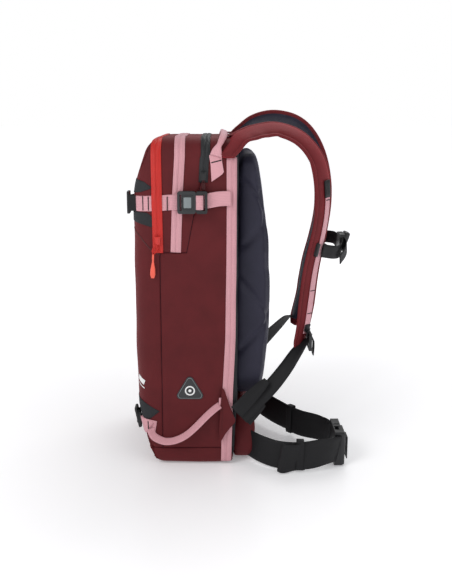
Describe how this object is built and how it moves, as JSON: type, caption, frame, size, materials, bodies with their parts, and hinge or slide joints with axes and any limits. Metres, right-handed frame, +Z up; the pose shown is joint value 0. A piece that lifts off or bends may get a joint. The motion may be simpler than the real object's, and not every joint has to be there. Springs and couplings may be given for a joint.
{
  "type": "ski backpack",
  "caption": "Panelled fabric ski backpack with padded back, shoulder harness, sternum strap, hip belt, side compression straps and zipped pockets.",
  "frame": {"origin": "on the floor under the middle of the bag body, halfway across its width", "axes": "+Z up, +Y from the bag towards the wearer's back and the harness, +X to the wearer's right"},
  "size_m": [0.3073, 0.3754, 0.5935],
  "materials": {
    "maroon_nylon": "plain-weave coated nylon, matt",
    "pink_webbing": "ribbed polyester webbing and zip tape",
    "red_zip": "coil zip with coated tape",
    "coral_grip": "soft moulded zip grip",
    "charcoal_fabric": "coated charcoal fabric",
    "navy_lining": "smooth stretch lining over foam",
    "foam": "closed-cell foam",
    "black_webbing": "black nylon webbing",
    "black_acetal": "moulded acetal, satin",
    "stay_alloy": "bare aluminium bar",
    "sheet_plastic": "polyethylene sheet"
  },
  "bodies": {
    "pack": {"front_panel": "maroon_nylon", "gusset_panel": "maroon_nylon", "side_panel_right": "maroon_nylon", "side_panel_left": "maroon_nylon", "top_panel": "maroon_nylon", "bottom_panel": "maroon_nylon", "back_wall": "charcoal_fabric", "tool_pocket_zip": "red_zip", "main_zip": "pink_webbing", "goggle_pocket_zip": "charcoal_fabric", "back_access_zip": "pink_webbing", "reinforcement_patches": "charcoal_fabric", "side_badge": "charcoal_fabric", "upper_front_webbing": "pink_webbing", "upper_rear_webbing": "pink_webbing", "upper_buckle_sockets": "black_acetal", "lower_ski_straps": "pink_webbing", "hip_fins": "maroon_nylon", "haul_handle_tabs": "pink_webbing", "yoke_anchor": "maroon_nylon", "back_pad_foam": "foam", "back_pad_cover": "navy_lining", "lumbar_pad": "maroon_nylon", "frame_sheet": "sheet_plastic", "frame_stays": "stay_alloy", "tool_divider": "charcoal_fabric", "hydration_sleeve": "charcoal_fabric", "adjuster_webbing": "black_webbing"},
    "upper_plug_right": {"upper_buckle_plug_right": "black_acetal"},
    "upper_plug_left": {"upper_buckle_plug_left": "black_acetal"},
    "front_hook_upper_right": {"front_buckle_upper_right": "black_acetal"},
    "front_hook_upper_left": {"front_buckle_upper_left": "black_acetal"},
    "front_hook_lower_right": {"front_buckle_lower_right": "black_acetal"},
    "front_hook_lower_left": {"front_buckle_lower_left": "black_acetal"},
    "haul_loop": {"haul_handle": "pink_webbing"},
    "tool_slider": {"tool_zip_slider": "red_zip"},
    "tool_pull": {"tool_zip_pull": "coral_grip"},
    "goggle_slider": {"goggle_zip_slider": "black_acetal"},
    "goggle_pull": {"goggle_zip_pull": "maroon_nylon"},
    "main_slider": {"main_zip_slider": "black_acetal"},
    "main_pull": {"main_zip_pull": "maroon_nylon"},
    "back_slider": {"back_zip_slider": "black_acetal"},
    "back_pull": {"back_zip_pull": "maroon_nylon"},
    "harness": {"shoulder_strap_right": "maroon_nylon", "shoulder_strap_left": "maroon_nylon", "strap_lining": "navy_lining", "strap_rails": "pink_webbing"},
    "lock_right": {"ladder_lock_right": "black_acetal"},
    "lock_left": {"ladder_lock_left": "black_acetal"},
    "sternum": {"sternum_sliders": "black_acetal", "sternum_webbing": "black_webbing", "sternum_socket": "black_acetal"},
    "sternum_tongue": {"sternum_plug": "black_acetal", "sternum_plug_webbing": "black_webbing"},
    "hip_belt": {"hip_wing_right": "black_webbing", "hip_keeper_right": "black_webbing", "hip_socket": "black_acetal"},
    "hip_tongue": {"hip_plug": "black_acetal", "hip_wing_left": "black_webbing", "hip_keeper_left": "black_webbing"}
  },
  "joints": [
    {"name": "upper_buckle_release_right", "type": "slide", "parent": "pack", "child": "upper_plug_right", "axis": [0, 1, 0], "range_m": [0, 0.022]},
    {"name": "upper_buckle_release_left", "type": "slide", "parent": "pack", "child": "upper_plug_left", "axis": [0, 1, 0], "range_m": [0, 0.022]},
    {"name": "front_hook_swing_upper_right", "type": "hinge", "parent": "pack", "child": "front_hook_upper_right", "pos_m": [0.11, -0.0945, 0.455], "axis": [0, 0, 1], "range_deg": [0, 60]},
    {"name": "front_hook_swing_upper_left", "type": "hinge", "parent": "pack", "child": "front_hook_upper_left", "pos_m": [-0.11, -0.0945, 0.455], "axis": [0, 0, -1], "range_deg": [0, 60]},
    {"name": "front_hook_swing_lower_right", "type": "hinge", "parent": "pack", "child": "front_hook_lower_right", "pos_m": [0.11, -0.087, 0.078], "axis": [0, 0, 1], "range_deg": [0, 60]},
    {"name": "front_hook_swing_lower_left", "type": "hinge", "parent": "pack", "child": "front_hook_lower_left", "pos_m": [-0.11, -0.087, 0.078], "axis": [0, 0, -1], "range_deg": [0, 60]},
    {"name": "haul_handle_swing", "type": "hinge", "parent": "pack", "child": "haul_loop", "pos_m": [0, 0.051, 0.54], "axis": [1, 0, 0], "range_deg": [0, 45]},
    {"name": "tool_zip_travel", "type": "slide", "parent": "pack", "child": "tool_slider", "axis": [0, 0, 1], "range_m": [0, 0.1]},
    {"name": "tool_pull_lift", "type": "hinge", "parent": "tool_slider", "child": "tool_pull", "pos_m": [0.1369, -0.045, 0.389], "axis": [0, -1, 0], "range_deg": [0, 90]},
    {"name": "goggle_zip_travel", "type": "slide", "parent": "pack", "child": "goggle_slider", "axis": [0, 0, 1], "range_m": [0, 0.02]},
    {"name": "goggle_pull_lift", "type": "hinge", "parent": "goggle_slider", "child": "goggle_pull", "pos_m": [0.1369, 0.03, 0.493], "axis": [0, -1, 0], "range_deg": [0, 90]},
    {"name": "main_zip_travel", "type": "slide", "parent": "pack", "child": "main_slider", "axis": [0, 0, 1], "range_m": [0, 0.045]},
    {"name": "main_pull_lift", "type": "hinge", "parent": "main_slider", "child": "main_pull", "pos_m": [-0.1369, -0.016, 0.379], "axis": [0, 1, 0], "range_deg": [0, 90]},
    {"name": "back_zip_travel", "type": "slide", "parent": "pack", "child": "back_slider", "axis": [0, 0.0171, 0.9999], "range_m": [0, 0.2]},
    {"name": "back_pull_lift", "type": "hinge", "parent": "back_slider", "child": "back_pull", "pos_m": [-0.1369, 0.0704, 0.193], "axis": [0, 1, 0], "range_deg": [0, 90]},
    {"name": "harness_swing", "type": "hinge", "parent": "pack", "child": "harness", "pos_m": [0, 0.084, 0.552], "axis": [1, 0, 0], "range_deg": [0, 25]},
    {"name": "ladder_lock_tilt_right", "type": "hinge", "parent": "harness", "child": "lock_right", "pos_m": [0.092, 0.212, 0.229], "axis": [1, 0, 0], "range_deg": [0, 25]},
    {"name": "ladder_lock_tilt_left", "type": "hinge", "parent": "harness", "child": "lock_left", "pos_m": [-0.092, 0.212, 0.229], "axis": [1, 0, 0], "range_deg": [0, 25]},
    {"name": "sternum_height", "type": "slide", "parent": "harness", "child": "sternum", "axis": [0, 0.1915, 0.9815], "range_m": [-0.02, 0.02], "stiffness_N_per_m": 30},
    {"name": "sternum_release", "type": "slide", "parent": "sternum", "child": "sternum_tongue", "axis": [1, 0, 0], "range_m": [0, 0.018]},
    {"name": "hip_belt_lift", "type": "hinge", "parent": "pack", "child": "hip_belt", "pos_m": [0, 0.112, 0.032], "axis": [1, 0, 0], "range_deg": [0, 25]},
    {"name": "hip_buckle_release", "type": "slide", "parent": "hip_belt", "child": "hip_tongue", "axis": [-1, 0, 0], "range_m": [0, 0.026]}
  ]
}
